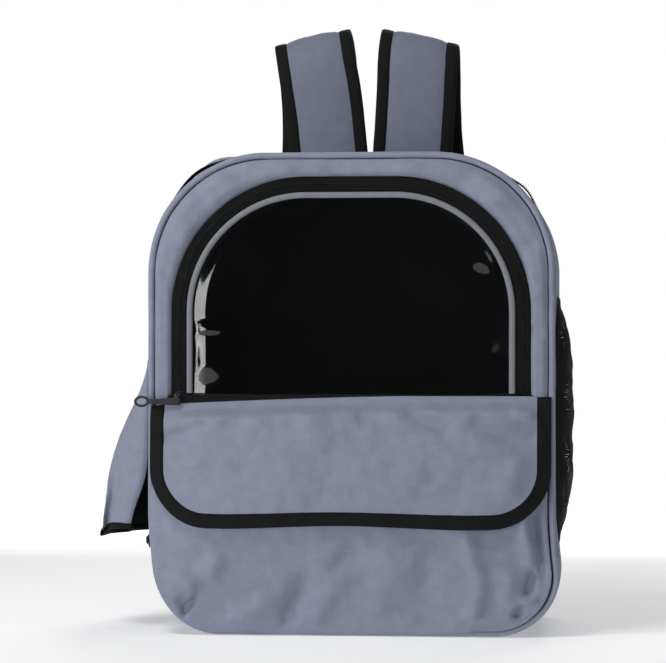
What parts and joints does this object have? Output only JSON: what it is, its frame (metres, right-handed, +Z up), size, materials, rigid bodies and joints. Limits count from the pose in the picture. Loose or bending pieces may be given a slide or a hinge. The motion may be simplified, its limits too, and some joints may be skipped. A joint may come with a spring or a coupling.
{
  "type": "pet carrier bag",
  "caption": "Soft-sided pet carrier with a clear arched window door, flapped front pocket, mesh sides and padded shoulder straps.",
  "frame": {"origin": "centre of the base, on the floor", "axes": "+Z up, the window door faces -Y, +X to the right of someone looking at the front"},
  "size_m": [0.4128, 0.2922, 0.5464],
  "materials": {
    "shell_fabric": "grey-blue woven polyester",
    "piping": "grey-blue covered cord and binding",
    "black_binding": "black folded grosgrain tape",
    "webbing": "black woven webbing",
    "zip": "black woven tape with coil teeth",
    "clear_vinyl": "clear soft vinyl sheet",
    "mesh": "black open mesh",
    "hook_and_loop": "hook and loop tape",
    "board": "fabric-covered stiffener",
    "mat": "dark grey fleece",
    "slider_metal": "black painted zinc",
    "black_plastic": "black moulded plastic"
  },
  "bodies": {
    "shell": {"gusset_top": "shell_fabric", "gusset_left": "shell_fabric", "gusset_right": "shell_fabric", "gusset_base": "shell_fabric", "back_panel": "shell_fabric", "back_piping": "piping", "back_pad": "mesh", "base_board": "board", "floor_mat": "mat", "front_lower_panel": "shell_fabric", "front_lower_piping": "piping", "pocket_lower_panel": "shell_fabric", "main_zip_rear_tape": "zip", "mesh_binding_left": "black_binding", "mesh_binding_right": "black_binding", "mesh_left": "mesh", "mesh_right": "mesh", "curtain_seam_tape": "shell_fabric", "strap_anchor": "webbing", "webbing_tab_left": "webbing", "webbing_tab_right": "webbing"},
    "front": {"front_panel": "shell_fabric", "front_piping": "piping", "main_zip_front_tape": "zip", "door_zip_outer_tape": "zip", "door_zip_end_left": "zip", "door_zip_end_right": "zip", "pocket_panel": "shell_fabric", "pocket_loop_tape": "hook_and_loop", "flap_seam_tape": "black_binding"},
    "window_door": {"door_zip_inner_tape": "zip", "door_binding": "piping", "window_pane": "clear_vinyl"},
    "flap": {"flap_panel": "shell_fabric", "flap_binding": "black_binding", "flap_hook_tape": "hook_and_loop"},
    "curtain": {"curtain_panel": "shell_fabric", "curtain_hem": "black_binding"},
    "door_slider": {"door_slider": "slider_metal"},
    "door_pull": {"door_pull": "black_plastic"},
    "main_slider": {"main_slider": "slider_metal"},
    "main_pull": {"main_pull": "black_plastic"},
    "strap_left": {"strap_pad_left": "shell_fabric", "strap_binding_left_a": "black_binding", "strap_binding_left_b": "black_binding", "ladder_lock_left": "black_plastic", "strap_tail_left": "webbing"},
    "strap_right": {"strap_pad_right": "shell_fabric", "strap_binding_right_a": "black_binding", "strap_binding_right_b": "black_binding", "ladder_lock_right": "black_plastic", "strap_tail_right": "webbing"},
    "webbing_left": {"webbing_left": "webbing"},
    "webbing_right": {"webbing_right": "webbing"}
  },
  "joints": [
    {"name": "front_fold", "type": "hinge", "parent": "shell", "child": "front", "pos_m": [0, -0.119, 0.066], "axis": [1, 0, 0], "range_deg": [0, 90]},
    {"name": "window_door_hinge", "type": "hinge", "parent": "front", "child": "window_door", "pos_m": [0, -0.112, 0.2094], "axis": [-1, 0, 0], "range_deg": [-150, 0]},
    {"name": "flap_hinge", "type": "hinge", "parent": "front", "child": "flap", "pos_m": [0, -0.106, 0.2045], "axis": [-1, 0, 0], "range_deg": [0, 95]},
    {"name": "curtain_hinge", "type": "hinge", "parent": "shell", "child": "curtain", "pos_m": [-0.181, 0.005, 0.24], "axis": [0, 1, 0], "range_deg": [0, 110]},
    {"name": "door_slider_travel", "type": "slide", "parent": "front", "child": "door_slider", "axis": [0, 0, 1], "range_m": [0, 0.07]},
    {"name": "door_pull_swing", "type": "hinge", "parent": "door_slider", "child": "door_pull", "pos_m": [-0.1497, -0.1104, 0.203], "axis": [0, 1, 0], "range_deg": [-10, 95]},
    {"name": "main_slider_travel", "type": "slide", "parent": "shell", "child": "main_slider", "axis": [0, 0, 1], "range_m": [0, 0.22]},
    {"name": "main_pull_swing", "type": "hinge", "parent": "main_slider", "child": "main_pull", "pos_m": [-0.1803, -0.0903, 0.081], "axis": [1, 0, 0], "range_deg": [-90, 90]},
    {"name": "strap_left_swing", "type": "hinge", "parent": "shell", "child": "strap_left", "pos_m": [-0.039, 0.103, 0.4212], "axis": [1, 0, 0], "range_deg": [0, 12]},
    {"name": "strap_right_swing", "type": "hinge", "parent": "shell", "child": "strap_right", "pos_m": [0.039, 0.103, 0.4212], "axis": [1, 0, 0], "range_deg": [0, 12]},
    {"name": "webbing_left_swing", "type": "hinge", "parent": "shell", "child": "webbing_left", "pos_m": [-0.122, 0.106, 0.053], "axis": [1, 0, 0], "range_deg": [-4.4, 0.5]},
    {"name": "webbing_right_swing", "type": "hinge", "parent": "shell", "child": "webbing_right", "pos_m": [0.122, 0.106, 0.053], "axis": [1, 0, 0], "range_deg": [-4.4, 0.5]}
  ],
  "couplings": [
    {"joint": "webbing_left_swing", "follows": "strap_left_swing", "ratio": -0.34},
    {"joint": "webbing_right_swing", "follows": "strap_right_swing", "ratio": -0.34}
  ]
}
